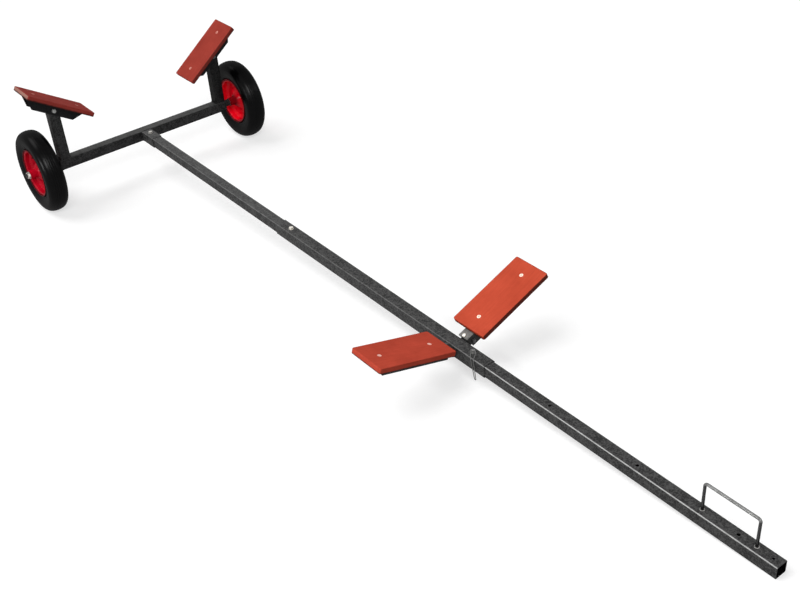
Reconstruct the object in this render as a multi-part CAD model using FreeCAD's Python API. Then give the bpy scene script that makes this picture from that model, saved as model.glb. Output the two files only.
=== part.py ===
import FreeCAD, Part
import math
import os

os.makedirs("parts", exist_ok=True)

# Hand launching trailer for a small boat. All sizes are millimetres.
# The parts are drawn in the frame of the level chassis: origin at the middle of the axle tube,
# X forward along the drawbar, Y to the left, Z up. At the end each part is pitched nose down
# so that the trailer rests on its two wheels and on the front end of its drawbar.

V = FreeCAD.Vector
ORIGIN = V(0, 0, 0)
X_AXIS = V(1, 0, 0)
Y_AXIS = V(0, 1, 0)
Z_AXIS = V(0, 0, 1)

# Half length of the solids that cut holes and outlines, more than any section
CUT = 60.0

# How far a cutter passes the surface it cuts, and how far fused solids sink into each other
OVERLAP = 1.0

# Lengths under this count as nothing where edges are picked by their place
TINY = 0.01

# Share of a straight run that the bend at one of its ends may use
BEND_ROOM = 0.45

# Fits and clearances
SLIP = 0.2            # each side, between telescoping square tubes
PIN_FIT = 0.05        # radial, between a bolt, wire or shaft and its hole
SEAT = 0.3            # between rubber and the metal it is seated on
RUN_SIDE = 0.5        # each side, between a tilting channel and the post it straddles
HUB_RUN = 0.5         # axial, between the turning hub and the fixed collars

# Axle tube and stub axles, which set the track
AXLE_HALF_L = 447.0
AXLE_SIDE = 50.0
TUBE_WALL = 3.0
TUBE_CORNER_R = 4.0
END_PLATE_T = 5.0
COLLAR_L = 27.5
COLLAR_R = 17.0
HUB_HALF_L = 60.0
WHEEL_Y = AXLE_HALF_L + END_PLATE_T + COLLAR_L + HUB_RUN + HUB_HALF_L

# Wheels, with the eight inch rim that the tyre size names
TYRE_R = 196.0
TYRE_HALF_W = 47.0
TYRE_WALL = 8.0
TYRE_NARROW = 0.9         # half width low and high on the side wall, as a share of the widest
TYRE_LOW = 0.2            # heights over the rim's lip, as shares of the tyre's height
TYRE_HIGH = 0.77
TYRE_SHOULDER = 0.945
TYRE_SHOULDER_W = 0.56    # half width at the shoulder, as a share of the widest
BEAD_W = 9.0
BEAD_CORNER = 2.0
BEAD_UNDER_LIP = 2.0
BEAD_SEAT_R = 101.5
RIM_LIP_R = BEAD_SEAT_R + 12.5
RIM_HALF_W = 33.0
RIM_LIP_W = 7.0
RIM_LIP_BEND = 3.0
RIM_SHEET_T = 2.5
RIM_WELL_Y = 12.5         # where the bead seat turns down to the dish
RIM_WELL_DROP = 0.7
RIM_JOIN_OUT_R = 86.5     # the two pressed halves touch between these radii
RIM_JOIN_IN_R = 62.0
RIM_JOIN_BEND = 1.5
RIM_JOIN_TURN = 6.0
RIM_NAVE_Y = 24.0
RIM_NAVE_R = 30.0
RIM_NAVE_BEND = 3.0
RIM_DISH_BEND_R = 9.0     # bends of the open side, where its runs are long enough
HUB_R = 21.0
BUSH_R = 14.5
BUSH_L = 26.0
BUSH_LIP_R = 18.0
BUSH_LIP_T = 3.0
AXLE_HOLE_R = 10.0
VALVE_HOLE_R = 5.7
VALVE_SLOPE = 45.0
VALVE_L = 30.0
VALVE_BASE_R = 7.4
VALVE_BASE_T = 2.8
VALVE_BODY_R = 6.8
VALVE_STEM_R = 4.2
VALVE_CAP_R = 4.8
VALVE_CAP_L = 8.0
VALVE_ROUND = 0.8

# Stub axle's shaft, washer, castle nut and split pin
SPINDLE_R = AXLE_HOLE_R - PIN_FIT
SPINDLE_PLUG_L = 40.0
SPINDLE_PLUG_CORNER_R = 2.0
SPINDLE_TAIL = 17.0
SPINDLE_END_Y = WHEEL_Y + HUB_HALF_L + SPINDLE_TAIL
AXLE_WASHER_T = 3.0
AXLE_WASHER_R = 17.0
AXLE_NUT_FLATS = 27.0
AXLE_NUT_T = 9.0
AXLE_NUT_SLOTS = 3        # each goes right across the nut
COTTER_R = 1.6
COTTER_Y = SPINDLE_END_Y - 6.5
COTTER_HALF_L = 15.0
COTTER_EYE_R = 4.0
COTTER_GAP = 0.5

# Posts over the axle, and the tilting supports they carry, each as it was last set
POST_Y = AXLE_HALF_L - AXLE_SIDE / 2
REAR_PIVOT_D = 10.0
NOSE_R = 12.0
NOSE_SLOPE = 56.0
REAR_PIVOT_Z = 274.5
REAR_TILT = {"left": 37.3, "right": 32.7}

# Channels and boards, measured from the pivot of each support
CHANNEL_T = 3.0
CHANNEL_DEPTH = 47.0
CHANNEL_DROP = 27.0
CHANNEL_BEND_R = 4.0
CHANNEL_SLANT = 40.0
CHANNEL_END_STEP = 2.0
REAR_BOARD_SHIFT = -4.5
BOARD_L = 334.0
BOARD_W = 160.0
BOARD_T = 20.0
BOARD_CORNER_R = 7.0
BOARD_EDGE_R = 2.5
BOARD_OVERHANG = 24.0     # board beyond the end of its channel
SCREW_INSET = 57.0
REAR_CHANNEL_HALF_L = BOARD_L / 2 - BOARD_OVERHANG
SCREW_REACH = BOARD_L / 2 - SCREW_INSET
SCREW_D = 8.0
SCREW_HEAD_R = 8.0
SCREW_HEAD_T = 5.0
SCREW_SUNK = 0.4
SCREW_TAIL = 3.0

# Drawbar: socket, rear bar, middle sleeve bar and front bar
BAR_SIDE = 45.0
SLEEVE_SIDE = 50.0
SLEEVE_WALL = (SLEEVE_SIDE - BAR_SIDE) / 2 - SLIP
SOCKET_END_X = 132.0
SOCKET_BOLT_X = 70.0
BAR_START_GAP = 1.0
REAR_BAR_START_X = AXLE_SIDE / 2 + BAR_START_GAP
REAR_BAR_END_X = 1360.0
REAR_OVERLAP = 137.0
SLEEVE_BOLT_INSET = 80.0
MIDDLE_START_X = REAR_BAR_END_X - REAR_OVERLAP
MIDDLE_BOLT_X = MIDDLE_START_X + SLEEVE_BOLT_INSET
FRONT_END_X = 3710.0
BAR_BOLT_D = 10.0
HOLE_D = 11.0
HOLE_PITCH = 375.0
FIRST_HOLE_INSET = 145.0
FIRST_HOLE_X = FRONT_END_X - FIRST_HOLE_INSET
OPEN_HOLES = 3
NOSE_HOLE_D = 9.0
NOSE_HOLE_INSET = 28.0
NOSE_HOLE_X = FRONT_END_X - NOSE_HOLE_INSET
PIN_X = FIRST_HOLE_X - OPEN_HOLES * HOLE_PITCH
SLEEVE_PAST_PIN = 82.0
BAR_BEHIND_PIN = 78.0
MIDDLE_END_X = PIN_X + SLEEVE_PAST_PIN
FRONT_START_X = PIN_X - BAR_BEHIND_PIN

# Locking pin in the last hole of the row, and its wire keeper
PIN_D = 10.0
PIN_HEAD_R = 9.0
PIN_HEAD_T = 4.0
PIN_KNOB_R = 6.5
PIN_KNOB_T = 9.0
PIN_TAIL = 15.0
CLIP_WIRE_R = 1.5
CLIP_TOP_HALF = 14.0
CLIP_EDGE_HALF = 7.0
CLIP_TIP_HALF = 3.4
CLIP_BEND_R = 2.5
CLIP_SIDE_GAP = 4.0
CLIP_EDGE_GAP = 3.0
CLIP_LEAN_EDGE = 26.0
CLIP_LEAN_TIP = 40.0
CLIP_TIP_Z = -54.0

# Pull handle
HANDLE_R = 5.0
HANDLE_INSET = 84.0
HANDLE_L = 190.0
HANDLE_FRONT_X = FRONT_END_X - HANDLE_INSET
HANDLE_REAR_X = HANDLE_FRONT_X - HANDLE_L
HANDLE_H = 109.5
HANDLE_BEND_R = 10.0

# Front cradle
CRADLE_BEHIND_PIN = 94.0
FRONT_X = PIN_X - CRADLE_BEHIND_PIN
FRONT_TILT = {"left": 21.5, "right": 16.5}
FRONT_PIVOT_D = 8.0
FRONT_PIVOT_Y = 62.5
FRONT_PIVOT_Z = 7.0
FRONT_BOARD_INNER = 12.5
FRONT_BOARD_SHIFT = FRONT_BOARD_INNER + BOARD_L / 2
FRONT_CHANNEL_INNER = -21.5
FRONT_CHANNEL_OUTER = FRONT_BOARD_SHIFT + REAR_CHANNEL_HALF_L
FRONT_CHANNEL_SLANT = 12.0
CLAMP_BOLT_Y = -13.0
LUG_W = 40.0
LUG_T = 5.0
LUG_TOP_SLOPE = 37.0
LUG_FOOT_DROP = 30.0

# Hexagon heads and nuts, as shares of the thread size
HEX_FLATS = 1.65
HEX_HEAD = 0.65
HEX_NUT = 0.8
HEX_CROWN = 0.97
BOLT_TAIL = 4.0
BOLT_TIP = 1.0
BOLT_WASHER_T = 1.6
BOLT_WASHER_RIM = 2.0


def rounded_bar(length, width, height, radius):
    """Solid bar along X from the origin, centred in Y and Z, with its long edges rounded."""
    bar = Part.makeBox(length, width, height, V(0, -width / 2, -height / 2))
    edges = []
    for edge in bar.Edges:
        if abs(edge.tangentAt(edge.FirstParameter).x) > 0.9:
            edges.append(edge)
    return bar.makeFillet(radius, edges)


def square_tube(length, side, wall):
    """Open square tube along X from the origin."""
    inner_side = side - 2 * wall
    bore = rounded_bar(length + 2 * OVERLAP, inner_side, inner_side, TUBE_CORNER_R - wall)
    bore.translate(V(-OVERLAP, 0, 0))
    return rounded_bar(length, side, side, TUBE_CORNER_R).cut(bore)


def rod(radius, start, end):
    """Round rod between two points."""
    line = end.sub(start)
    return Part.makeCylinder(radius, line.Length, start, line)


def hexagon(flats, height):
    """Hexagonal prism on z = 0 with its top corners chamfered."""
    reach = flats / math.sqrt(3)
    points = []
    for k in range(7):
        angle = math.radians(60 * k)
        points.append(V(reach * math.cos(angle), reach * math.sin(angle), 0))
    prism = Part.Face(Part.makePolygon(points)).extrude(V(0, 0, height))
    crown = Part.makeCone(flats / 2 + 2 * height, flats / 2 * HEX_CROWN, height)
    return prism.common(crown)


def bolt_and_nut(size, grip):
    """Bolt along Z: its head is above z = 0 and its nut below z = -grip, each on a washer."""
    flats = HEX_FLATS * size
    head_h = HEX_HEAD * size
    nut_h = HEX_NUT * size
    tail = -grip - BOLT_WASHER_T - nut_h - BOLT_TAIL
    head = hexagon(flats, head_h)
    head.translate(V(0, 0, BOLT_WASHER_T))
    shank = Part.makeCylinder(size / 2, OVERLAP - tail, V(0, 0, tail))
    nut = hexagon(flats, nut_h)
    nut.rotate(ORIGIN, X_AXIS, 180)
    nut.translate(V(0, 0, -grip - BOLT_WASHER_T))
    washer = Part.makeCylinder(flats / 2 + BOLT_WASHER_RIM, BOLT_WASHER_T)
    lower = washer.copy()
    lower.translate(V(0, 0, -grip - BOLT_WASHER_T))
    bolt = shank.multiFuse([head, nut, washer, lower]).removeSplitter()
    tip_edges = []
    for edge in bolt.Edges:
        if edge.BoundBox.ZMax < tail + TINY:
            tip_edges.append(edge)
    return bolt.makeChamfer(BOLT_TIP, tip_edges)


def aim(shape, direction, position):
    """Turn a shape drawn along Z to the given direction and move it to the position."""
    turned = shape.copy()
    turned.Placement = FreeCAD.Placement(position, FreeCAD.Rotation(Z_AXIS, direction))
    return turned


def polyline(points):
    """Straight edges through (y, r) points, not closed."""
    edges = []
    for (y0, r0), (y1, r1) in zip(points, points[1:]):
        edges.append(Part.makeLine(V(0, y0, r0), V(0, y1, r1)))
    return edges


def arc(start, middle, end):
    """Round edge through three (y, r) points."""
    points = [V(0, y, r) for y, r in (start, middle, end)]
    return Part.Arc(*points).toShape()


def mirror_yr(points):
    """The same (y, r) points on the other side of the wheel, in reverse order."""
    return [(-y, r) for y, r in points[::-1]]


def spin(edges):
    """Revolve a closed (y, r) profile about the wheel axis."""
    face = Part.Face(Part.Wire(edges))
    solid = face.revolve(ORIGIN, Y_AXIS, 360)
    return solid


def offset_line(points, thickness):
    """The same open (y, r) line moved sideways by a sheet's thickness, corners mitred."""
    normals = []
    for (y0, r0), (y1, r1) in zip(points, points[1:]):
        length = math.hypot(y1 - y0, r1 - r0)
        normals.append((-(r1 - r0) / length, (y1 - y0) / length))
    moved = []
    for k, (y, r) in enumerate(points):
        before = normals[max(k - 1, 0)]
        after = normals[min(k, len(normals) - 1)]
        mean_y = before[0] + after[0]
        mean_r = before[1] + after[1]
        scale = 2 * thickness / (mean_y * mean_y + mean_r * mean_r)
        moved.append((y + mean_y * scale, r + mean_r * scale))
    return moved


def bent_line(points, bend_r):
    """Edges through the points, corners bent to a radius, or to less where a run is short."""
    edges = []
    last = points[0]
    for before, corner, after in zip(points, points[1:], points[2:]):
        to_before = before.sub(corner)
        to_after = after.sub(corner)
        room = BEND_ROOM * min(to_before.Length, to_after.Length)
        to_before.normalize()
        to_after.normalize()
        half = to_before.getAngle(to_after) / 2
        setback = min(bend_r / math.tan(half), room)
        radius = setback * math.tan(half)
        middle = to_before.add(to_after).normalize()
        start = corner.add(to_before.multiply(setback))
        end = corner.add(to_after.multiply(setback))
        crest = corner.add(middle.multiply(radius / math.sin(half) - radius))
        edges.append(Part.makeLine(last, start))
        edges.append(Part.Arc(start, crest, end).toShape())
        last = end
    edges.append(Part.makeLine(last, points[-1]))
    return edges


def bent_wire(points, bend_r, wire_r):
    """Round wire through the points, its corners bent to a radius."""
    heading = points[1].sub(points[0])
    ring = Part.Wire(Part.Edge(Part.Circle(points[0], heading, wire_r)))
    return Part.Wire(bent_line(points, bend_r)).makePipeShell([ring], True, False)


# Wheels, drawn about the origin with the outer side at +Y

def make_tyre():
    """Hollow tyre: beads on the rim, round walls and a flatter crown."""
    height = TYRE_R - RIM_LIP_R
    width = TYRE_HALF_W
    narrow = TYRE_NARROW * width
    widest_r = RIM_LIP_R + height / 2
    low_r = RIM_LIP_R + TYRE_LOW * height
    foot_y = RIM_HALF_W - SEAT
    foot_r = BEAD_SEAT_R + SEAT
    top_r = RIM_LIP_R - BEAD_UNDER_LIP
    bead = [(foot_y - BEAD_W, foot_r), (foot_y - BEAD_CORNER, foot_r),
            (foot_y, foot_r + BEAD_CORNER), (foot_y, top_r)]
    widest = (width, widest_r)
    high_wall = (narrow, RIM_LIP_R + TYRE_HIGH * height)
    shoulder = (TYRE_SHOULDER_W * width, RIM_LIP_R + TYRE_SHOULDER * height)
    inner_bead = (foot_y - TYRE_WALL, top_r)
    inner_low = (narrow - TYRE_WALL, low_r)
    inner_wide = (width - TYRE_WALL, widest_r)
    far_shoulder, far_high, far_widest, far_low = mirror_yr([(narrow, low_r), widest, high_wall, shoulder])
    far_bead = mirror_yr(bead)
    far_inner_wide, far_inner_low, far_inner_bead = mirror_yr([inner_bead, inner_low, inner_wide])
    edges = polyline(bead)
    edges.append(arc(bead[-1], (narrow, low_r), widest))
    edges.append(arc(widest, high_wall, shoulder))
    edges.append(arc(shoulder, (0, TYRE_R), far_shoulder))
    edges.append(arc(far_shoulder, far_high, far_widest))
    edges.append(arc(far_widest, far_low, far_bead[0]))
    edges.extend(polyline(far_bead + [far_inner_bead]))
    edges.append(arc(far_inner_bead, far_inner_low, far_inner_wide))
    edges.append(arc(far_inner_wide, (0, TYRE_R - TYRE_WALL), inner_wide))
    edges.append(arc(inner_wide, inner_low, inner_bead))
    edges.extend(polyline([inner_bead, bead[0]]))
    return spin(edges)


def make_rim():
    """Two pressed dishes welded back to back, with the valve's hole in the outer one."""
    slope_top = BEAD_SEAT_R - RIM_WELL_DROP
    tyre_side = [(RIM_HALF_W + RIM_LIP_W, RIM_LIP_R), (RIM_HALF_W + RIM_LIP_BEND, RIM_LIP_R),
                 (RIM_HALF_W, RIM_LIP_R - RIM_LIP_BEND), (RIM_HALF_W, BEAD_SEAT_R + BEAD_CORNER),
                 (RIM_HALF_W - BEAD_CORNER, BEAD_SEAT_R), (RIM_WELL_Y + RIM_JOIN_BEND, BEAD_SEAT_R),
                 (RIM_WELL_Y, slope_top), (RIM_JOIN_BEND, slope_top - RIM_WELL_Y + RIM_JOIN_BEND),
                 (0, RIM_JOIN_OUT_R), (0, RIM_JOIN_IN_R), (RIM_SHEET_T, RIM_JOIN_IN_R - RIM_JOIN_TURN),
                 (RIM_NAVE_Y - RIM_NAVE_BEND, RIM_NAVE_R), (RIM_NAVE_Y, RIM_NAVE_R - RIM_NAVE_BEND),
                 (RIM_NAVE_Y, HUB_R)]
    open_side = offset_line(tyre_side, RIM_SHEET_T)
    edges = polyline(tyre_side)
    edges.extend(polyline([tyre_side[-1], open_side[-1]]))
    edges.extend(bent_line([V(0, y, r) for y, r in open_side[::-1]], RIM_DISH_BEND_R))
    edges.extend(polyline([open_side[0], tyre_side[0]]))
    outer_half = spin(edges)
    rim = outer_half.fuse(outer_half.mirror(ORIGIN, Y_AXIS)).removeSplitter()
    hole = Part.makeCylinder(VALVE_HOLE_R, VALVE_L, V(0, 0, -VALVE_L / 3))
    return rim.cut(place_valve(hole))


def place_valve(shape):
    """From the valve's own axis Z, pointing out of the rim, to its place in the dish."""
    slope = math.radians(VALVE_SLOPE)
    direction = V(0, math.cos(slope), -math.sin(slope))
    middle_y = (RIM_WELL_Y + RIM_JOIN_BEND) / 2
    middle_r = BEAD_SEAT_R - RIM_WELL_DROP - (RIM_WELL_Y - middle_y)
    return aim(shape, direction, V(0, middle_y, middle_r))


def make_valve():
    """Rubber valve, snapped into the rim's hole, with a screwed cap."""
    neck_r = VALVE_HOLE_R - PIN_FIT
    inside = -2 * PIN_FIT
    shoulder = RIM_SHEET_T + SEAT
    cap = VALVE_L - VALVE_CAP_L
    outline = [(0, -VALVE_BASE_T), (VALVE_BASE_R - VALVE_ROUND, -VALVE_BASE_T),
               (VALVE_BASE_R, VALVE_ROUND - VALVE_BASE_T), (VALVE_BASE_R, inside),
               (neck_r, inside), (neck_r, shoulder), (VALVE_BODY_R, shoulder),
               (VALVE_BODY_R - VALVE_ROUND / 2, VALVE_L / 3), (VALVE_STEM_R, VALVE_L / 2),
               (VALVE_STEM_R, cap), (VALVE_CAP_R, cap), (VALVE_CAP_R, VALVE_L - VALVE_ROUND),
               (VALVE_CAP_R - VALVE_ROUND, VALVE_L), (0, VALVE_L)]
    points = [V(r, 0, z) for r, z in outline]
    points.append(points[0])
    stem = Part.Face(Part.makePolygon(points)).revolve(ORIGIN, Z_AXIS, 360)
    return place_valve(stem)


def make_hub():
    """Hub tube with a lipped bush pressed into each end."""
    tube_half = HUB_HALF_L - BUSH_LIP_T
    tube = rod(HUB_R, V(0, -tube_half, 0), V(0, tube_half, 0))
    tube = tube.cut(rod(BUSH_R, V(0, -HUB_HALF_L, 0), V(0, HUB_HALF_L, 0)))
    pieces = [tube]
    for end in (-1, 1):
        lip_inner = V(0, end * tube_half, 0)
        lip_outer = V(0, end * HUB_HALF_L, 0)
        bush = rod(BUSH_R, V(0, end * (tube_half - BUSH_L), 0), lip_inner)
        bush = bush.fuse(rod(BUSH_LIP_R, lip_inner, lip_outer))
        bush = bush.cut(rod(AXLE_HOLE_R, ORIGIN, V(0, end * (HUB_HALF_L + OVERLAP), 0)))
        pieces.append(bush.removeSplitter())
    return Part.makeCompound(pieces)


# Axle

def make_spindle():
    """Stub axle on the left: square plug in the tube, end plate, collar and shaft."""
    plug_side = AXLE_SIDE - 2 * TUBE_WALL - 2 * SLIP
    plug = rounded_bar(SPINDLE_PLUG_L, plug_side, plug_side, SPINDLE_PLUG_CORNER_R)
    plug.rotate(ORIGIN, Z_AXIS, 90)
    plug.translate(V(0, AXLE_HALF_L - SPINDLE_PLUG_L, 0))
    plate = rounded_bar(END_PLATE_T, AXLE_SIDE, AXLE_SIDE, TUBE_CORNER_R)
    plate.rotate(ORIGIN, Z_AXIS, 90)
    plate.translate(V(0, AXLE_HALF_L, 0))
    plate_end = AXLE_HALF_L + END_PLATE_T
    collar_end = WHEEL_Y - HUB_HALF_L - HUB_RUN
    collar = rod(COLLAR_R, V(0, plate_end - OVERLAP, 0), V(0, collar_end, 0))
    shaft = rod(SPINDLE_R, V(0, plate_end - OVERLAP, 0), V(0, SPINDLE_END_Y, 0))
    spindle = plug.multiFuse([plate, collar, shaft]).removeSplitter()
    hole = rod(COTTER_R + PIN_FIT, V(-CUT, COTTER_Y, 0), V(CUT, COTTER_Y, 0))
    return spindle.cut(hole)


def make_axle_nut():
    """Washer, castle nut and split pin that keep the wheel on."""
    washer_y = WHEEL_Y + HUB_HALF_L + HUB_RUN
    bore = rod(SPINDLE_R + PIN_FIT, V(0, washer_y - OVERLAP, 0),
               V(0, SPINDLE_END_Y + OVERLAP, 0))
    washer = rod(AXLE_WASHER_R, V(0, washer_y, 0), V(0, washer_y + AXLE_WASHER_T, 0))
    nut = hexagon(AXLE_NUT_FLATS, AXLE_NUT_T)
    nut = aim(nut, Y_AXIS, V(0, washer_y + AXLE_WASHER_T, 0))
    slot_w = 2 * COTTER_R + 2 * COTTER_GAP
    slot_floor = COTTER_Y - COTTER_R - COTTER_GAP
    for k in range(AXLE_NUT_SLOTS):
        slot = Part.makeBox(2 * CUT, CUT, slot_w, V(-CUT, slot_floor, -slot_w / 2))
        slot.rotate(ORIGIN, Y_AXIS, 180 / AXLE_NUT_SLOTS * k)
        nut = nut.cut(slot)
    split_pin = rod(COTTER_R, V(-COTTER_HALF_L, COTTER_Y, 0), V(COTTER_HALF_L, COTTER_Y, 0))
    eye = Part.makeTorus(COTTER_EYE_R, COTTER_R, V(COTTER_HALF_L + COTTER_EYE_R, COTTER_Y, 0), Y_AXIS)
    return Part.makeCompound([washer.cut(bore), nut.cut(bore), split_pin.fuse(eye)])


def make_axle_tube():
    tube = square_tube(2 * AXLE_HALF_L, AXLE_SIDE, TUBE_WALL)
    tube.rotate(ORIGIN, Z_AXIS, 90)
    tube.translate(V(0, -AXLE_HALF_L, 0))
    return tube


def make_post():
    """Square post whose top is cut to a rounded nose that clears the tilting channel."""
    top = REAR_PIVOT_Z + NOSE_R
    post = square_tube(top, AXLE_SIDE, TUBE_WALL)
    post.rotate(ORIGIN, Y_AXIS, -90)
    post = post.cut(Part.makeBox(2 * CUT, 2 * CUT, AXLE_SIDE / 2, V(-CUT, -CUT, 0)))
    slope = math.radians(NOSE_SLOPE)
    tangent_y = NOSE_R * math.sin(slope)
    tangent_z = NOSE_R * math.cos(slope)
    side_y = AXLE_SIDE / 2 + OVERLAP
    side_z = tangent_z - (side_y - tangent_y) * math.tan(slope)
    outline = [V(-CUT, -side_y, -top), V(-CUT, side_y, -top), V(-CUT, side_y, side_z),
               V(-CUT, tangent_y, tangent_z), V(-CUT, -tangent_y, tangent_z),
               V(-CUT, -side_y, side_z), V(-CUT, -side_y, -top)]
    keep = Part.Face(Part.makePolygon(outline)).extrude(V(2 * CUT, 0, 0))
    keep = keep.fuse(rod(NOSE_R, V(-CUT, 0, 0), V(CUT, 0, 0)))
    keep.translate(V(0, 0, REAR_PIVOT_Z))
    post = post.common(keep)
    hole_r = REAR_PIVOT_D / 2 + PIN_FIT
    post = post.cut(rod(hole_r, V(-CUT, 0, REAR_PIVOT_Z), V(CUT, 0, REAR_PIVOT_Z)))
    post.translate(V(0, POST_Y, 0))
    return post


# Supports on the left, drawn level about their pivot, then tilted and moved

def channel_width(inside):
    """Outside width of the channel that straddles a post or lug of this width."""
    return inside + 2 * RUN_SIDE + 2 * CHANNEL_T


def make_channel(inside, inner, outer, inner_slant, pivot_d, holes):
    """U channel, web up, with slanted flange ends, pivot hole and screw holes."""
    half_w = channel_width(inside) / 2
    bottom = CHANNEL_DROP - CHANNEL_DEPTH
    length = outer - inner
    body = Part.makeBox(2 * half_w, length, CHANNEL_DEPTH, V(-half_w, inner, bottom))
    top_edges = []
    for edge in body.Edges:
        box = edge.BoundBox
        if box.YLength > length - TINY and box.ZMin > 0:
            top_edges.append(edge)
    body = body.makeFillet(CHANNEL_BEND_R, top_edges)
    gap_w = half_w - CHANNEL_T
    gap = Part.makeBox(2 * gap_w, length + 2 * OVERLAP, CHANNEL_DEPTH,
                       V(-gap_w, inner - OVERLAP, bottom - CHANNEL_T))
    gap_edges = []
    for edge in gap.Edges:
        box = edge.BoundBox
        if box.YLength > length and box.ZMin > 0:
            gap_edges.append(edge)
    gap = gap.makeFillet(CHANNEL_BEND_R - CHANNEL_T, gap_edges)
    body = body.cut(gap)
    web_z = CHANNEL_DROP - CHANNEL_T - CHANNEL_END_STEP
    outline = [V(-CUT, inner, CHANNEL_DROP), V(-CUT, outer, CHANNEL_DROP), V(-CUT, outer, web_z),
               V(-CUT, outer - CHANNEL_SLANT, bottom), V(-CUT, inner + inner_slant, bottom),
               V(-CUT, inner, web_z), V(-CUT, inner, CHANNEL_DROP)]
    body = body.common(Part.Face(Part.makePolygon(outline)).extrude(V(2 * CUT, 0, 0)))
    body = body.cut(rod(pivot_d / 2 + PIN_FIT, V(-CUT, 0, 0), V(CUT, 0, 0)))
    for y in holes:
        body = body.cut(rod(SCREW_D / 2 + PIN_FIT, V(0, y, 0), V(0, y, CHANNEL_DROP + OVERLAP)))
    return body


def make_board(shift):
    """Painted board with rounded corners and eased edges, drilled for its screws."""
    board = Part.makeBox(BOARD_W, BOARD_L, BOARD_T,
                         V(-BOARD_W / 2, shift - BOARD_L / 2, CHANNEL_DROP))
    corners = []
    for edge in board.Edges:
        if edge.BoundBox.ZLength > BOARD_T - TINY:
            corners.append(edge)
    board = board.makeFillet(BOARD_CORNER_R, corners)
    rims = []
    for edge in board.Edges:
        if edge.BoundBox.ZLength < TINY:
            rims.append(edge)
    board = board.makeFillet(BOARD_EDGE_R, rims)
    for y in screw_places(shift):
        board = board.cut(rod(SCREW_D / 2 + PIN_FIT, V(0, y, 0),
                              V(0, y, CHANNEL_DROP + BOARD_T + OVERLAP)))
        board = board.cut(screw_sink(y, BOARD_T))
    return board


def screw_places(shift):
    return (shift - SCREW_REACH, shift + SCREW_REACH)


def screw_sink(y, above):
    """The sunk head's cone with a plain cylinder above it, up to a height over the channel."""
    low = CHANNEL_DROP + BOARD_T - SCREW_SUNK - SCREW_HEAD_T
    cone = Part.makeCone(SCREW_D / 2, SCREW_HEAD_R, SCREW_HEAD_T, V(0, y, low))
    rim = rod(SCREW_HEAD_R, V(0, y, low + SCREW_HEAD_T), V(0, y, CHANNEL_DROP + above + OVERLAP))
    return cone.fuse(rim)


def make_screws(shift):
    """Two countersunk bolts through board and web, each with a nut inside the channel."""
    head_top = CHANNEL_DROP + BOARD_T - SCREW_SUNK
    under = CHANNEL_DROP - CHANNEL_T
    nut_h = HEX_NUT * SCREW_D
    pieces = []
    for y in screw_places(shift):
        head = Part.makeCone(SCREW_D / 2, SCREW_HEAD_R, SCREW_HEAD_T,
                             V(0, y, head_top - SCREW_HEAD_T))
        shank = rod(SCREW_D / 2, V(0, y, under - nut_h - SCREW_TAIL), V(0, y, head_top - OVERLAP))
        nut = hexagon(HEX_FLATS * SCREW_D, nut_h)
        nut.rotate(ORIGIN, X_AXIS, 180)
        nut.translate(V(0, y, under))
        pieces.append(head.multiFuse([shank, nut]).removeSplitter())
    return pieces


def make_clamp_bolt():
    """Hexagon bolt in the front channel's web, over the lug."""
    head = hexagon(HEX_FLATS * SCREW_D, HEX_HEAD * SCREW_D)
    head.translate(V(0, CLAMP_BOLT_Y, CHANNEL_DROP))
    foot = V(0, CLAMP_BOLT_Y, CHANNEL_DROP - CHANNEL_T)
    shank = rod(SCREW_D / 2, foot, V(0, CLAMP_BOLT_Y, CHANNEL_DROP + OVERLAP))
    return head.fuse(shank).removeSplitter()


def make_pivot(inside, size):
    """Pivot bolt across the channel, head to the front."""
    grip = channel_width(inside)
    return aim(bolt_and_nut(size, grip), X_AXIS, V(grip / 2, 0, 0))


def place_support(shape, x, y, z, tilt):
    """Tilt a level support so that its outer end rises, and move it to its pivot."""
    placed = shape.copy()
    placed.rotate(ORIGIN, X_AXIS, tilt)
    placed.translate(V(x, y, z))
    return placed


def make_lug():
    """Bracket on the side of the middle bar: rounded ears for the pivot bolt under a bridge."""
    half_w = LUG_W / 2
    root_y = SLEEVE_SIDE / 2 - FRONT_PIVOT_Y
    slope = math.radians(LUG_TOP_SLOPE)
    tangent = V(-half_w, -NOSE_R * math.sin(slope), NOSE_R * math.cos(slope))
    root_top = tangent.z - (tangent.y - root_y) * math.tan(slope)
    outline = [tangent, V(-half_w, root_y, root_top), V(-half_w, root_y, -LUG_FOOT_DROP),
               V(-half_w, 0, -NOSE_R), V(-half_w, 0, 0), tangent]
    ear = Part.Face(Part.makePolygon(outline)).extrude(V(2 * half_w, 0, 0))
    ear = ear.fuse(rod(NOSE_R, V(-half_w, 0, 0), V(half_w, 0, 0)))
    inner_w = half_w - LUG_T
    wall_y = root_y + LUG_T
    under_nose = tangent.z - LUG_T / math.cos(slope)
    under_root = under_nose - (tangent.y - wall_y) * math.tan(slope)
    opening = [V(-inner_w, wall_y, -CUT), V(-inner_w, wall_y, under_root),
               V(-inner_w, tangent.y, under_nose), V(-inner_w, tangent.y, CUT),
               V(-inner_w, CUT, CUT), V(-inner_w, CUT, -CUT), V(-inner_w, wall_y, -CUT)]
    gap = Part.Face(Part.makePolygon(opening)).extrude(V(2 * inner_w, 0, 0))
    lug = ear.cut(gap).cut(rod(FRONT_PIVOT_D / 2 + PIN_FIT, V(-CUT, 0, 0), V(CUT, 0, 0)))
    lug.translate(V(FRONT_X, FRONT_PIVOT_Y, FRONT_PIVOT_Z))
    return lug.removeSplitter()


# Drawbar

def vertical_hole(shape, x, diameter):
    return shape.cut(rod(diameter / 2, V(x, 0, -CUT), V(x, 0, CUT)))


def make_bar(start, end, side, wall):
    bar = square_tube(end - start, side, wall)
    bar.translate(V(start, 0, 0))
    return bar


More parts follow.
